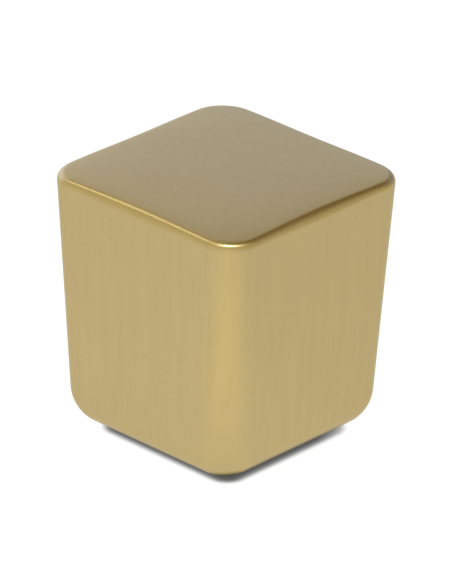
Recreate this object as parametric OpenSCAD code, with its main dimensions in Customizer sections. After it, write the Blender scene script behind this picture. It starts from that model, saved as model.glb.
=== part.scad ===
// A sealed metal cooling cube: a deep-drawn cup with rounded upright edges and
// base, closed by a flat lid that is laser welded round its rim and ground
// flush, then filled through a plugged port in the middle of its underside.
// The origin is at the middle of the underside and +Z points up to the lid.

/* [Cube] */
// Width across two opposite sides at the top, before its edge is rounded
top_w = 26; // [25.5:0.1:28]
// Width across two opposite sides at the base, before its edge is rounded
base_w = 23.7; // [22.5:0.1:25.5]
// Overall height
height = 27.8; // [26.5:0.1:40]
// Radius of the four upright edges at the top, in plan
edge_top_r = 3.8; // [3.4:0.1:6]
// Radius of the four upright edges at the base, in plan
edge_base_r = 4.4; // [4.4:0.1:6]
// Radius of the drawn edge round the base
base_r = 4.2; // [2.5:0.1:4.2]
// Radius of the ground edge round the top
top_r = 1.1; // [0.3:0.05:1.15]

/* [Walls] */
// Thickness of the drawn cup
wall = 1; // [0.6:0.05:1.4]
// Thickness of the lid
lid_t = 1.8; // [1.6:0.05:2]
// Depth of the lid's locating rim, inside the cup
rim_depth = 0.8; // [0.4:0.1:2]
// Width of the lid's locating rim
rim_w = 1; // [0.5:0.1:2]
// Depth and half height of the weld bead in its groove between cup and lid
weld = 0.35; // [0.2:0.05:0.4]

/* [Fill port] */
// Diameter of the port through the base
port_d = 2; // [1.5:0.1:2.4]
// Diameter of the plug's head
head_d = 3; // [2.8:0.1:3.4]
// Depth of the recess for the plug's head
head_t = 0.45; // [0.3:0.05:0.5]
// Width of the ring weld round the plug's head
ring_weld = 0.4; // [0.3:0.05:0.6]

/* [Coolant] */
// Height of the coolant's surface, which leaves room for it to expand
fill_level = 23; // [12:0.5:23]

/* [Quality] */
// Facets in each quarter of an upright edge
corner_steps = 14; // [8:1:18]
// Facets in the drawn edge round the base
base_steps = 12; // [6:1:16]
// Facets in the ground edge round the top
top_steps = 7; // [4:1:10]

/* [Hidden] */

gold = [0.75, 0.66, 0.44];
gold_lid = [0.66, 0.58, 0.43];
bare_weld = [0.72, 0.62, 0.38];
ice_blue = [0.72, 0.85, 0.92];

// The sides lean out towards the top by this angle.
draft = atan((top_w - base_w) / 2 / height);
joint_z = height - lid_t;
// Room round a piece that is dropped into another one.
slip = 0.03;
// How far the plug and its weld are ground back from the resting face.
ground_back = 0.05;
// How far the plug's shank stands into the cup.
shank_proud = 0.3;
// How far a cutting solid runs past what it cuts.
past = 1;

// Half width of the outer sides at height z.
function side(z) = base_w / 2 + z * tan(draft);

// Half width of the same sides pulled in by a distance square to their surface.
function side_in(z, inset) = side(z) - inset / cos(draft);

// Plan radius of the upright edges at height z.
function edge(z) = edge_base_r + (edge_top_r - edge_base_r) * z / height;

// A ring says where a level outline lies: [height, half width, corner radius].
function side_ring(z, inset) = [z, side_in(z, inset), edge(z) - inset / cos(draft)];

// Rings of an edge whose rounding has radius r about a level path. The path is
// at path_z, path_half from the middle, with path_r at its corners.
function arc_rings(path_z, path_half, path_r, r, from, to, steps) =
    [for (k = [0:steps])
        let (a = from + (to - from) * k / steps)
        [path_z + r * sin(a), path_half + r * cos(a), path_r + r * cos(a)]];

// Rings of the drawn base, pulled in by inset, from the flat up to the sides.
function base_rings(inset) =
    arc_rings(base_r, side_in(base_r, base_r), edge(base_r) - base_r * cos(draft),
        base_r - inset, -90, -draft, base_steps);

// Rings of the ground top edge, from the sides up to the flat.
function top_rings() =
    let (z = height - top_r)
    arc_rings(z, side_in(z, top_r), edge(z) - top_r * cos(draft),
        top_r, -draft, 90, top_steps);

// The points of one ring, anticlockwise from above.
function ring_points(ring) =
    [for (corner = [0:3], step = [0:corner_steps])
        let (a = 90 * (corner + step / corner_steps),
            turn = 90 * corner + 45,
            mid = (ring[1] - ring[2]) * sqrt(2))
        [mid * cos(turn) + ring[2] * cos(a), mid * sin(turn) + ring[2] * sin(a), ring[0]]];

ring_size = 4 * (corner_steps + 1);

// The faces between ring low and ring high, seen from outside the stack.
function band_faces(low, high) =
    [for (i = [0:ring_size - 1])
        let (j = (i + 1) % ring_size)
        [low * ring_size + i, high * ring_size + i, high * ring_size + j, low * ring_size + j]];

// A solid stacked from level rings, closed by a flat at each end.
module stack(rings) {
    last = len(rings) - 1;
    polyhedron(
        points = [for (ring = rings) each ring_points(ring)],
        faces = [
            [for (i = [0:ring_size - 1]) i],
            for (k = [0:last - 1]) each band_faces(k, k + 1),
            [for (i = [ring_size - 1:-1:0]) last * ring_size + i]
        ]
    );
}

// A hoop whose cross-section is the closed row of rings.
module hoop(rings) {
    count = len(rings);
    polyhedron(
        points = [for (ring = rings) each ring_points(ring)],
        faces = [for (k = [0:count - 1]) each band_faces(k, (k + 1) % count)]
    );
}

// The drawn cup: its mouth has an outer chamfer for the weld, and its base has
// the fill port with a recess for the plug's head.
module drawn_cup() {
    color(gold)
    difference() {
        stack([each base_rings(0), side_ring(joint_z - weld, 0), side_ring(joint_z, weld)]);
        stack([each base_rings(wall), side_ring(joint_z + past, wall)]);
        translate([0, 0, -past])
            cylinder(d = port_d, h = wall + 2 * past, $fn = 48);
        translate([0, 0, -past])
            cylinder(d = head_d + 2 * ring_weld, h = head_t + past, $fn = 48);
    }
}

// The lid: full width on top of the cup's mouth, with a rim that drops inside
// the walls and a lower outer chamfer that matches the cup's.
module lid_plate() {
    rim_out = wall + slip;
    rim_in = rim_out + rim_w;
    color(gold_lid)
    stack([
        side_ring(joint_z, rim_in),
        side_ring(joint_z - rim_depth, rim_in),
        side_ring(joint_z - rim_depth, rim_out),
        side_ring(joint_z, rim_out),
        side_ring(joint_z, weld),
        side_ring(joint_z + weld, 0),
        each top_rings()
    ]);
}

// The laser weld: a bead that fills the groove between cup and lid, ground
// flush with the sides.
module seam_weld() {
    color(bare_weld)
    hoop([
        side_ring(joint_z, weld),
        side_ring(joint_z - weld, 0),
        side_ring(joint_z + weld, 0)
    ]);
}

// The plug: a flat head in the recess and a shank through the port.
module fill_plug() {
    color(gold_lid)
    rotate_extrude($fn = 48)
        polygon([
            [0, ground_back],
            [head_d / 2, ground_back],
            [head_d / 2, head_t],
            [port_d / 2 - slip, head_t],
            [port_d / 2 - slip, wall + shank_proud],
            [0, wall + shank_proud]
        ]);
}

// The ring weld that seals the plug's head in its recess.
module plug_weld() {
    color(bare_weld)
    translate([0, 0, ground_back])
        difference() {
            cylinder(r = head_d / 2 + ring_weld, h = head_t - ground_back, $fn = 48);
            translate([0, 0, -past])
                cylinder(d = head_d, h = head_t + 2 * past, $fn = 48);
        }
}

// The frozen charge: it takes the shape of the cup up to its fill level, with a
// dimple where the plug's shank reaches in.
module coolant_charge() {
    color(ice_blue)
    difference() {
        stack([each base_rings(wall + slip), side_ring(fill_level, wall + slip)]);
        translate([0, 0, wall])
            cylinder(d = port_d + 2 * slip, h = shank_proud + slip, $fn = 48);
    }
}

drawn_cup();
lid_plate();
seam_weld();
fill_plug();
plug_weld();
coolant_charge();
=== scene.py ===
# A satin gold cooling cube on a white studio table. The cup, the lid and the flush
# weld are smooth lofted meshes. The plug, its weld and the coolant are the CAD's own.
import math

import bpy
from mathutils import Matrix, Vector


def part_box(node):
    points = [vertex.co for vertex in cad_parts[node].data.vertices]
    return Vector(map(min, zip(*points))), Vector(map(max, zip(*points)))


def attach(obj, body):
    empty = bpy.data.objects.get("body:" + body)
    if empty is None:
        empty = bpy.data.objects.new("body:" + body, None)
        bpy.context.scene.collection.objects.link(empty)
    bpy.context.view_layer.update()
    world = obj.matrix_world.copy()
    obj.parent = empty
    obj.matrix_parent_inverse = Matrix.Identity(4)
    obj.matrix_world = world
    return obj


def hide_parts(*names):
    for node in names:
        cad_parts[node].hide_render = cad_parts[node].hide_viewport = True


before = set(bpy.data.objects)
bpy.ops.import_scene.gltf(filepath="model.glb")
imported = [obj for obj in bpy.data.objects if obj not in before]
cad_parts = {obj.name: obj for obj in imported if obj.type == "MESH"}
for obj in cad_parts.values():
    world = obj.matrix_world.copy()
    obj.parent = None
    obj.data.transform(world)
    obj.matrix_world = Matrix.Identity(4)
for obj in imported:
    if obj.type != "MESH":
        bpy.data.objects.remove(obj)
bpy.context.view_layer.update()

MM = 0.001

# Driving dimensions of the cube, the same as in the CAD model.
TOP_W = 26 * MM  # across the sides at the top, before its edge is rounded
BASE_W = 23.7 * MM  # across the sides at the base, before its edge is rounded
EDGE_TOP_R = 3.8 * MM  # plan radius of the upright edges at the top
EDGE_BASE_R = 4.4 * MM  # plan radius of the upright edges at the base
BASE_R = 4.2 * MM  # drawn edge round the base
TOP_R = 1.1 * MM  # ground edge round the top
WALL = 1 * MM
RIM_W = 1 * MM  # width of the lid's locating rim
SLIP = 0.03 * MM  # room round the lid's rim
PORT_R = 1 * MM  # fill port through the base

# Where grinding leaves the lid softer than the CAD's flat one, all inside its box.
TOP_CORNER_R = 0.85 * MM  # the ground edge gets tighter at the corners
LID_ROLL = 0.05 * MM  # how far grinding takes the lid down beside its edge
LID_ROLL_POWER = 12  # the higher, the nearer the edge it starts
LID_CROWN = 0.12 * MM  # how far the lid stands higher in its middle
LID_DIP = 0.25 * MM  # how far it would stand lower still where its sides would meet

# Places that the frame gives.
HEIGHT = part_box("lid_plate")[1].z
JOINT_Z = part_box("drawn_cup")[1].z
RIM_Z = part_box("lid_plate")[0].z
WELD = (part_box("seam_weld")[1].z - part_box("seam_weld")[0].z) / 2
RECESS_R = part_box("plug_weld")[1].x
RECESS_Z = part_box("plug_weld")[1].z

DRAFT = math.atan((TOP_W - BASE_W) / 2 / HEIGHT)

# Mesh density.
CORNER_STEPS = 28  # in each quarter of an upright edge
SIDE_STEPS = 28  # along each flat side
BASE_STEPS = 26  # in the drawn edge round the base
TOP_STEPS = 20  # in the ground edge round the top
LID_STEPS = 24  # over the face of the lid
CREASE = math.radians(35)


# ---------------------------------------------------------------- outlines

def side(z):
    """Half width of the outer sides at height z."""
    return BASE_W / 2 + z * math.tan(DRAFT)


def edge(z):
    """Plan radius of the upright edges at height z."""
    return EDGE_BASE_R + (EDGE_TOP_R - EDGE_BASE_R) * z / HEIGHT


def side_ring(z, inset=0.0):
    """The level outline (height, half width, corner radius) inset from the sides."""
    pulled = inset / math.cos(DRAFT)
    return z, side(z) - pulled, edge(z) - pulled


def circle_ring(z, radius):
    return z, radius, radius


def arc_rings(path_z, path_half, path_r, r, start, stop, steps):
    """Outlines of a rounding of radius r about a level path, from angle start to stop."""
    for k in range(steps + 1):
        a = start + (stop - start) * k / steps
        yield path_z + r * math.sin(a), path_half + r * math.cos(a), path_r + r * math.cos(a)


def base_rings(inset=0.0):
    """The drawn base, from its flat up to the sides."""
    pulled = BASE_R / math.cos(DRAFT)
    path_r = edge(BASE_R) - BASE_R * math.cos(DRAFT)
    return list(arc_rings(BASE_R, side(BASE_R) - pulled, path_r, BASE_R - inset,
                          -math.pi / 2, -DRAFT, BASE_STEPS))


def lid_drop(share):
    """How far the lid's face lies below its middle, at a share of the way out to its edge."""
    return LID_CROWN * share ** 2 + LID_ROLL * share ** LID_ROLL_POWER


def top_rings(r):
    """The ground edge, from the sides up, and the face of the lid, up to near its middle."""
    slope = (2 * LID_CROWN + LID_ROLL_POWER * LID_ROLL) / (side(HEIGHT) - r)
    z = HEIGHT - lid_drop(1) - r * math.cos(slope)
    rings = list(arc_rings(z, side(z) - r / math.cos(DRAFT), edge(z) - r * math.cos(DRAFT), r,
                           -DRAFT, math.pi / 2 - slope, TOP_STEPS))
    _, half, corner = rings[-1]
    for k in range(LID_STEPS - 1, 0, -1):
        share = math.sqrt(k / LID_STEPS)
        rings.append((HEIGHT - lid_drop(share), half * share, corner * share))
    return rings


def corner_shares():
    """For each point of an outline, how much it belongs to a corner rather than to a side."""
    for _ in range(4):
        for _ in range(CORNER_STEPS + 1):
            yield 1
        for step in range(1, SIDE_STEPS):
            yield (1 + math.cos(2 * math.pi * step / SIDE_STEPS)) / 2


def plain_points(z, half, corner):
    """Points along one outline, anticlockwise from above: a corner, then a side, four times."""
    mid = half - corner
    for quarter in range(4):
        turn = Matrix.Rotation(quarter * math.pi / 2, 2)
        for step in range(CORNER_STEPS + 1):
            a = math.pi / 2 * step / CORNER_STEPS
            x, y = turn @ Vector((mid + corner * math.cos(a), mid + corner * math.sin(a)))
            yield x, y, z
        for step in range(1, SIDE_STEPS):
            x, y = turn @ Vector((mid - 2 * mid * step / SIDE_STEPS, half))
            yield x, y, z


def ring_points(ring):
    """Points along an outline, or along a pair of them, one at the sides and one at the corners."""
    if len(ring) == 3:
        yield from plain_points(*ring)
        return
    at_sides, at_corners = ring
    for from_side, from_corner, share in zip(plain_points(*at_sides), plain_points(*at_corners),
                                             corner_shares()):
        yield tuple(Vector(from_side).lerp(Vector(from_corner), share))


# ---------------------------------------------------------------- meshes

def band(low, high, size):
    """Faces between two outlines that follow each other up the stack."""
    for i in range(size):
        j = (i + 1) % size
        yield low + i, low + j, high + j, high + i


def dipped(point):
    """A point of the lid, lowered towards the corners, where the lid dips."""
    x, y, z = point
    weld_top = JOINT_Z + WELD
    risen = max(0, z - weld_top) / (HEIGHT - weld_top)
    return x, y, z - LID_DIP * risen * (x * y / side(HEIGHT) ** 2) ** 2


def loft(name, rings, closed=False, reshape=None):
    """A solid through level outlines. It ends in a flat at each end, or closes on itself."""
    verts = [p for ring in rings for p in ring_points(ring)]
    if reshape:
        verts = [reshape(p) for p in verts]
    size = len(verts) // len(rings)
    last = (len(rings) - 1) * size
    faces = [f for k in range(len(rings) - 1) for f in band(k * size, (k + 1) * size, size)]
    if closed:
        faces += band(last, 0, size)
    else:
        faces.append(tuple(range(size - 1, -1, -1)))
        faces.append(tuple(range(last, last + size)))
    mesh = bpy.data.meshes.new(name)
    mesh.from_pydata(verts, [], faces)
    mesh.validate()
    mesh.shade_smooth()
    mesh.set_sharp_from_angle(angle=CREASE)
    piece = bpy.data.objects.new(name, mesh)
    bpy.context.collection.objects.link(piece)
    normals = piece.modifiers.new("even_normals", "WEIGHTED_NORMAL")
    normals.keep_sharp = True
    normals.weight = 100
    return piece


def make_cup():
    """Outer skin, mouth chamfer, inner skin and the fill port with its recess."""
    _, flat_half, _ = base_rings()[0]
    under = (0, flat_half * 0.6, flat_half * 0.3)  # between the recess and the drawn edge
    return loft("cup_body", [
        circle_ring(WALL, PORT_R),
        circle_ring(RECESS_Z, PORT_R),
        circle_ring(RECESS_Z, RECESS_R),
        circle_ring(0, RECESS_R),
        under,
        *base_rings(),
        side_ring(HEIGHT / 2),
        side_ring(JOINT_Z - WELD),
        side_ring(JOINT_Z, WELD),
        side_ring(JOINT_Z, WALL),
        *reversed(base_rings(WALL)),
    ], closed=True)


def make_lid():
    """Locating rim, groove chamfer, ground edge and crowned face."""
    rim_out = WALL + SLIP
    peak = (HEIGHT, 0.1 * MM, 0.03 * MM)  # a tiny flat that closes the face in its middle
    return loft("lid_cap", [
        side_ring(JOINT_Z, rim_out + RIM_W),
        side_ring(RIM_Z, rim_out + RIM_W),
        side_ring(RIM_Z, rim_out),
        side_ring(JOINT_Z, rim_out),
        side_ring(JOINT_Z, WELD),
        side_ring(JOINT_Z + WELD),
        *zip(top_rings(TOP_R), top_rings(TOP_CORNER_R)),
        peak,
    ], reshape=dipped)


def make_weld():
    """The bead in the groove, ground flush with the sides."""
    return loft("ground_weld", [
        side_ring(JOINT_Z, WELD),
        side_ring(JOINT_Z - WELD),
        side_ring(JOINT_Z + WELD),
    ], closed=True)


# ---------------------------------------------------------------- materials

def add_node(tree, kind, **settings):
    node = tree.nodes.new(kind)
    for key, value in settings.items():
        setattr(node, key, value)
    return node


def noise(tree, stretch, scale, detail=2.0, rough=0.5):
    """Noise in the object's own space, in which stretch shortens each axis."""
    place = add_node(tree, "ShaderNodeTexCoord")
    mapping = add_node(tree, "ShaderNodeMapping")
    mapping.inputs["Scale"].default_value = stretch
    texture = add_node(tree, "ShaderNodeTexNoise")
    texture.inputs["Scale"].default_value = scale
    texture.inputs["Detail"].default_value = detail
    texture.inputs["Roughness"].default_value = rough
    tree.links.new(place.outputs["Object"], mapping.inputs["Vector"])
    tree.links.new(mapping.outputs["Vector"], texture.inputs["Vector"])
    return texture.outputs["Fac"]


def remap(tree, value, low, high, from_low=0.0, from_high=1.0):
    node = add_node(tree, "ShaderNodeMapRange")
    node.inputs["From Min"].default_value = from_low
    node.inputs["From Max"].default_value = from_high
    node.inputs["To Min"].default_value = low
    node.inputs["To Max"].default_value = high
    tree.links.new(value, node.inputs["Value"])
    return node.outputs["Result"]


def math_node(tree, operation, a, b):
    node = add_node(tree, "ShaderNodeMath", operation=operation)
    for socket, value in zip(node.inputs, (a, b)):
        if isinstance(value, (int, float)):
            socket.default_value = value
        else:
            tree.links.new(value, socket)
    return node.outputs["Value"]


def vector_math(tree, operation, a, b):
    node = add_node(tree, "ShaderNodeVectorMath", operation=operation)
    for socket, value in zip(node.inputs, (a, b)):
        if isinstance(value, tuple):
            socket.default_value = value
        else:
            tree.links.new(value, socket)
    gives_number = operation in ("LENGTH", "DOT_PRODUCT")
    return node.outputs["Value" if gives_number else "Vector"]


def scaled(tree, colour, amount):
    """A colour times a value."""
    node = add_node(tree, "ShaderNodeVectorMath", operation="SCALE")
    if isinstance(colour, tuple):
        node.inputs[0].default_value = colour
    else:
        tree.links.new(colour, node.inputs[0])
    tree.links.new(amount, node.inputs["Scale"])
    return node.outputs["Vector"]


def soft_step(tree, value, start, stop):
    """0 before start, 1 after stop, and smooth between them."""
    node = add_node(tree, "ShaderNodeMapRange", interpolation_type="SMOOTHSTEP")
    node.inputs["From Min"].default_value = start
    node.inputs["From Max"].default_value = stop
    tree.links.new(value, node.inputs["Value"])
    return node.outputs["Result"]


def ramp(tree, value, stops):
    """Colours, or greys, at the given places between 0 and 1."""
    node = add_node(tree, "ShaderNodeValToRGB")
    tree.links.new(value, node.inputs["Fac"])
    line = node.color_ramp
    line.elements[0].position = stops[0][0]
    line.elements[1].position = stops[-1][0]
    for position, _ in stops[1:-1]:
        line.elements.new(position)
    for element, (_, colour) in zip(line.elements, stops):
        element.color = (*colour, 1) if isinstance(colour, tuple) else (colour, colour, colour, 1)
    return node.outputs["Color"]


LEVEL_NUDGE = (0.2, 0, 0)  # more than any slope of the lid's face
UPRIGHT = (1, 1, 0.03)  # draws the brushing out upright
STREAKY = (1, 1, 0.06)
EVEN = (1, 1, 1)
EDGE_TINT = (0.82, 0.78, 0.66, 1)  # the metal's tint at grazing angles


def level_tangent(tree):
    """The level direction along the surface, which turns to the X axis on a level one."""
    normal = add_node(tree, "ShaderNodeNewGeometry")
    cross = add_node(tree, "ShaderNodeVectorMath", operation="CROSS_PRODUCT")
    cross.inputs[0].default_value = (0, 0, 1)
    tree.links.new(normal.outputs["Normal"], cross.inputs[1])
    nudge = add_node(tree, "ShaderNodeVectorMath", operation="ADD")
    nudge.inputs[1].default_value = LEVEL_NUDGE
    tree.links.new(cross.outputs["Vector"], nudge.inputs[0])
    return nudge.outputs["Vector"]


def satin_gold(name, tint, roughness, anisotropy):
    """Gold-coated steel with fine upright brushing, faint wide streaks and a few pits."""
    material = bpy.data.materials.new(name)
    material.use_nodes = True
    tree = material.node_tree
    shader = tree.nodes["Principled BSDF"]
    shader.inputs["Metallic"].default_value = 1.0
    shader.inputs["Anisotropic"].default_value = anisotropy
    shader.inputs["Specular Tint"].default_value = EDGE_TINT
    tree.links.new(level_tangent(tree), shader.inputs["Tangent"])

    fine = noise(tree, UPRIGHT, 9000, detail=3, rough=0.6)
    streaks = noise(tree, STREAKY, 1400, detail=2)
    mottle = noise(tree, EVEN, 160, detail=2)
    pits = noise(tree, (1, 1, 0.6), 2600, detail=0)

    shade = math_node(tree, "ADD", math_node(tree, "MULTIPLY", fine, 0.25),
                      math_node(tree, "MULTIPLY", streaks, 0.75))
    shade = remap(tree, shade, 0.97, 1.03, 0.3, 0.7)
    soft = remap(tree, mottle, 0.99, 1.01, 0.3, 0.7)
    pitted = remap(tree, pits, 1.0, 0.93, 0.77, 0.82)
    shade = math_node(tree, "MULTIPLY", shade, math_node(tree, "MULTIPLY", soft, pitted))
    tree.links.new(scaled(tree, tint, shade), shader.inputs["Base Color"])

    rough = math_node(tree, "ADD", remap(tree, fine, -0.03, 0.03, 0.3, 0.7),
                      remap(tree, mottle, roughness - 0.01, roughness + 0.01, 0.3, 0.7))
    tree.links.new(rough, shader.inputs["Roughness"])

    bump = add_node(tree, "ShaderNodeBump")
    bump.inputs["Strength"].default_value = 0.25
    bump.inputs["Distance"].default_value = 0.004 * MM
    tree.links.new(fine, bump.inputs["Height"])
    tree.links.new(bump.outputs["Normal"], shader.inputs["Normal"])
    return material


def frozen_coolant(name):
    """Cloudy ice with bubbles frozen in it."""
    material = bpy.data.materials.new(name)
    material.use_nodes = True
    tree = material.node_tree
    shader = tree.nodes["Principled BSDF"]
    cloud = noise(tree, EVEN, 300, detail=4)
    tint = add_node(tree, "ShaderNodeMix", data_type="RGBA")
    tint.inputs["A"].default_value = (0.55, 0.76, 0.88, 1)
    tint.inputs["B"].default_value = (0.86, 0.93, 0.96, 1)
    tree.links.new(cloud, tint.inputs["Factor"])
    tree.links.new(tint.outputs["Result"], shader.inputs["Base Color"])
    tree.links.new(remap(tree, cloud, 0.25, 0.55, 0.3, 0.7), shader.inputs["Roughness"])
    bubbles = noise(tree, EVEN, 1500, detail=1)
    bump = add_node(tree, "ShaderNodeBump")
    bump.inputs["Strength"].default_value = 0.4
    bump.inputs["Distance"].default_value = 0.05 * MM
    tree.links.new(bubbles, bump.inputs["Height"])
    tree.links.new(bump.outputs["Normal"], shader.inputs["Normal"])
    return material


def paint(piece, material):
    piece.data.materials.clear()
    piece.data.materials.append(material)


# ---------------------------------------------------------------- camera and light

VIEW_AZIMUTH = math.radians(43.12)
VIEW_ELEVATION = math.radians(26.03)
VIEW_ROLL = 0.0215
VIEW_DISTANCE = 647.4 * MM
VIEW_LENS = 400.4  # in millimetres
AIM_RIGHT = 0.212 * MM  # the view's middle, right of the cube's middle
AIM_UP = 0.430 * MM  # and above it


def make_camera():
    """A long lens, rolled a little, that looks down at the near upright edge."""
    back = Vector((math.sin(VIEW_AZIMUTH) * math.cos(VIEW_ELEVATION),
                   -math.cos(VIEW_AZIMUTH) * math.cos(VIEW_ELEVATION),
                   math.sin(VIEW_ELEVATION)))
    middle = Vector((0, 0, HEIGHT / 2))
    camera = bpy.data.objects.new("camera", bpy.data.cameras.new("camera"))
    camera.data.lens = VIEW_LENS
    camera.data.sensor_width = 36
    camera.data.clip_start = 10 * MM
    camera.data.clip_end = 10
    level = (-back).to_track_quat("-Z", "Y").to_matrix()
    turned = level @ Matrix.Rotation(VIEW_ROLL, 3, "Z")
    place = middle + back * VIEW_DISTANCE
    aim = middle + turned.col[0] * AIM_RIGHT + turned.col[1] * AIM_UP
    look = (aim - place).to_track_quat("-Z", "Y").to_matrix()
    look = look @ Matrix.Rotation(VIEW_ROLL, 3, "Z")
    camera.matrix_world = Matrix.Translation(place) @ look.to_4x4()
    bpy.context.collection.objects.link(camera)
    bpy.context.scene.camera = camera


# Painted light on the floor: a contact shadow, a brighter lean towards the front left and a warm
# pool are painted into its glow.
SHADOW_SHIFT = (1.2 * MM, -0.8 * MM, 0)  # the contact shadow leans away from the lights
SHADOW_CORNER = 4.8 * MM  # plan radius of its corners
SHADOW_ALONG = (0.73, 0.68, 0)  # it fades out to both sides along this line
SHADOW_MIDDLE = -0.8 * MM
SHADOW_FULL = 10 * MM
SHADOW_GONE = 18 * MM
SHADOW_SPAN = 5 * MM  # the depth in from its edge that the stops run over
SHADOW = [(0.35, 1.0), (0.435, 0.95), (0.51, 0.73), (0.54, 0.55), (0.575, 0.37), (0.605, 0.25),
          (0.65, 0.155), (0.70, 0.10), (0.96, 0.05)]
FLOOR_R = 3.0
FLOOR_GLOW = 1.10
LEAN_TO = (-0.68, -0.73, 0)  # the floor is brighter towards the front left
LEAN = 0.035  # by this much
LEAN_REACH = 35 * MM
RIM_DIM = 0.97  # and a little dimmer from RIM_START to RIM_STOP
RIM_START = 35 * MM
RIM_STOP = 65 * MM
FAR_DIM = 0.94  # and again further away
FAR_START = 250 * MM
FAR_STOP = 800 * MM
POOL_AT = (31 * MM, -33 * MM, 0)  # a warm pool of light lies in front of the near edge
POOL_R = 23 * MM
POOL_GLOW = (0.25, 0.23, -0.01)


def inset_under(tree, place):
    """How far in from the edge of the contact shadow a point of the floor lies."""
    reach = BASE_W / 2 - SHADOW_CORNER
    moved = vector_math(tree, "SUBTRACT", place, SHADOW_SHIFT)
    folded = vector_math(tree, "ABSOLUTE", moved, (0, 0, 0))
    beyond = vector_math(tree, "SUBTRACT", folded, (reach, reach, 0))
    outside = vector_math(tree, "LENGTH", vector_math(tree, "MAXIMUM", beyond, (0, 0, 0)), (0, 0, 0))
    split = add_node(tree, "ShaderNodeSeparateXYZ")
    tree.links.new(beyond, split.inputs[0])
    larger = math_node(tree, "MAXIMUM", split.outputs["X"], split.outputs["Y"])
    inside = math_node(tree, "MINIMUM", larger, 0.0)
    return math_node(tree, "SUBTRACT", SHADOW_CORNER, math_node(tree, "ADD", outside, inside))


def make_floor():
    """A white table that glows nearly evenly, with a painted lean and a painted warm pool of light,
    and a painted contact shadow that is darkest where the cube meets it. It dims far away.
    """
    bpy.ops.mesh.primitive_circle_add(vertices=96, radius=FLOOR_R, fill_type="NGON")
    floor = bpy.context.object
    floor.name = "studio_floor"
    material = bpy.data.materials.new("studio_white")
    material.use_nodes = True
    tree = material.node_tree
    tree.nodes.clear()
    out = add_node(tree, "ShaderNodeOutputMaterial")
    glow = add_node(tree, "ShaderNodeEmission")
    place = add_node(tree, "ShaderNodeTexCoord").outputs["Object"]
    reach = vector_math(tree, "LENGTH", place, (0, 0, 0))
    dim = math_node(tree, "MULTIPLY", remap(tree, reach, 1.0, RIM_DIM, RIM_START, RIM_STOP),
                    remap(tree, reach, 1.0, FAR_DIM, FAR_START, FAR_STOP))
    # painted light: a lean brighter towards the front left and a warm pool
    lean = vector_math(tree, "DOT_PRODUCT", place, LEAN_TO)
    lean = remap(tree, lean, FLOOR_GLOW - LEAN, FLOOR_GLOW + LEAN, -LEAN_REACH, LEAN_REACH)
    aside = vector_math(tree, "LENGTH", vector_math(tree, "SUBTRACT", place, POOL_AT), (0, 0, 0))
    spread = math_node(tree, "POWER", math_node(tree, "DIVIDE", aside, POOL_R), 2.0)
    fade = math_node(tree, "EXPONENT", math_node(tree, "MULTIPLY", spread, -1.0), 0.0)
    pool = scaled(tree, POOL_GLOW, fade)
    lit = vector_math(tree, "ADD", scaled(tree, (1, 1, 1), lean), pool)
    tree.links.new(lit, glow.inputs["Color"])
    # painted contact shadow, drawn from the cube's outline, fading out at both ends
    inset = math_node(tree, "DIVIDE", inset_under(tree, place), SHADOW_SPAN)
    dark = ramp(tree, inset, SHADOW)
    along = vector_math(tree, "DOT_PRODUCT", place, SHADOW_ALONG)
    along = math_node(tree, "SUBTRACT", along, SHADOW_MIDDLE)
    lifted = soft_step(tree, math_node(tree, "ABSOLUTE", along, 0.0), SHADOW_GONE, SHADOW_FULL)
    shaded = math_node(tree, "MULTIPLY", math_node(tree, "SUBTRACT", 1.0, dark), lifted)
    strength = math_node(tree, "MULTIPLY", dim, math_node(tree, "SUBTRACT", 1.0, shaded))
    tree.links.new(strength, glow.inputs["Strength"])
    tree.links.new(glow.outputs["Emission"], out.inputs["Surface"])
    paint(floor, material)


ROOM_AXIS = (-0.05, 0.66, 0.75)  # the room is darkest this way
ROOM = [(0.0, (1.10, 1.06, 0.90)), (0.35, (1.04, 1.01, 0.86)), (0.41, (1.00, 0.97, 0.80)),
        (0.55, (0.93, 0.885, 0.66)), (0.65, (0.85, 0.80, 0.56)), (0.75, (0.85, 0.80, 0.62)),
        (0.84, (0.78, 0.73, 0.57)), (0.90, (0.68, 0.62, 0.46)), (0.935, (0.57, 0.50, 0.34)),
        (0.965, (0.43, 0.35, 0.19)), (0.985, (0.31, 0.22, 0.09)), (1.0, (0.28, 0.19, 0.07))]
WINDOW_AXIS = (-0.68, 0.73, 0)  # a wide cool window stands this way
WINDOW_SIDES = (0.40, 0.74)  # it fades in between these cosines from its axis
WINDOW_TOP = (0.65, 0.39)  # and below these heights
WINDOW_LEFT = (-0.73, -0.68, 0)  # and is brighter at its left end
WINDOW_GAIN = 0.5  # by this much, LEFT_REACH away from its middle
LEFT_REACH = 0.3
WINDOW = [(0.0, (1.00, 1.15, 1.80)), (0.30, (1.01, 1.15, 1.86)), (0.38, (1.00, 1.13, 1.74)),
          (0.44, (0.95, 1.03, 1.38)), (0.50, (0.87, 0.90, 1.03)), (0.58, (0.75, 0.73, 0.68))]


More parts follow.
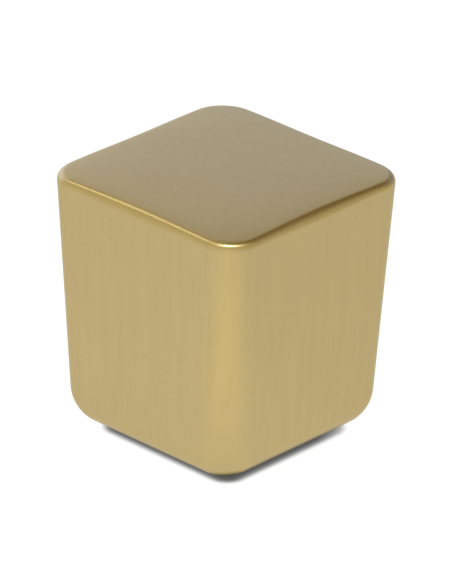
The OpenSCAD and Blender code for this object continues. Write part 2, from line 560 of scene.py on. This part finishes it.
def make_sky():
    """A warm room, pale at the horizon and darkest above and behind, with a cool window."""
    world = bpy.data.worlds.new("studio_room")
    bpy.context.scene.world = world
    world.use_nodes = True
    tree = world.node_tree
    place = add_node(tree, "ShaderNodeTexCoord").outputs["Generated"]
    along = vector_math(tree, "DOT_PRODUCT", place, ROOM_AXIS)
    room = ramp(tree, remap(tree, along, 0.0, 1.0, -1.0, 1.0), ROOM)
    split = add_node(tree, "ShaderNodeSeparateXYZ")
    tree.links.new(place, split.inputs[0])
    window = ramp(tree, split.outputs["Z"], WINDOW)
    facing = vector_math(tree, "DOT_PRODUCT", place, WINDOW_AXIS)
    across = soft_step(tree, facing, *WINDOW_SIDES)
    below = soft_step(tree, split.outputs["Z"], *WINDOW_TOP)
    left = vector_math(tree, "DOT_PRODUCT", place, WINDOW_LEFT)
    gain = remap(tree, left, 1 - WINDOW_GAIN, 1 + WINDOW_GAIN, -LEFT_REACH, LEFT_REACH)
    window = scaled(tree, window, gain)
    mix = add_node(tree, "ShaderNodeMix", data_type="RGBA")
    tree.links.new(math_node(tree, "MULTIPLY", across, below), mix.inputs["Factor"])
    tree.links.new(room, mix.inputs["A"])
    tree.links.new(window, mix.inputs["B"])
    tree.links.new(mix.outputs["Result"], tree.nodes["Background"].inputs["Color"])


SOFTBOX_DISTANCE = 0.9
SOFTBOXES = [  # name, direction from the cube, width, height, brightness, colour
    ("key_softbox", (-0.615, -0.010, 0.789), 0.18, 0.18, 2.4, (1, 1, 0.92)),
    ("top_softbox", (0.13, -0.15, 0.98), 0.19, 0.19, 25, (1, 1, 1)),
    ("front_bounce", (0.65, -0.70, 0.30), 0.7, 0.5, 0.16, (1, 0.97, 0.85)),
]


def make_softbox(name, direction, width, height, glow, colour):
    """A soft light that faces the cube from a direction, of a given brightness."""
    light = bpy.data.lights.new(name, "AREA")
    light.shape = "RECTANGLE"
    light.size = width
    light.size_y = height
    light.energy = glow * math.pi * width * height
    light.color = colour
    lamp = bpy.data.objects.new(name, light)
    toward = Vector(direction).normalized()
    lamp.location = toward * SOFTBOX_DISTANCE + Vector((0, 0, HEIGHT / 2))
    lamp.rotation_mode = "QUATERNION"
    lamp.rotation_quaternion = toward.to_track_quat("Z", "Y")
    lamp.visible_camera = False
    bpy.context.collection.objects.link(lamp)


# ---------------------------------------------------------------- the object

GOLD = (0.464, 0.361, 0.169)

gold_sides = satin_gold("satin_gold_sides", GOLD, 0.30, 0.5)
gold_small = satin_gold("satin_gold_small", GOLD, 0.34, 0.0)

for piece, node, slot in ((make_cup(), "drawn_cup", "gold_cup"),
                          (make_lid(), "lid_plate", "gold_lid"),
                          (make_weld(), "seam_weld", "gold_weld")):
    paint(piece, gold_sides)
    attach(piece, "root")
    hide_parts(node)

paint(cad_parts["fill_plug"], gold_small)
paint(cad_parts["plug_weld"], gold_small)
paint(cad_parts["coolant_charge"], frozen_coolant("frozen_coolant"))

make_camera()
make_floor()
make_sky()
for softbox in SOFTBOXES:
    make_softbox(*softbox)
bpy.context.scene.view_settings.view_transform = "Standard"
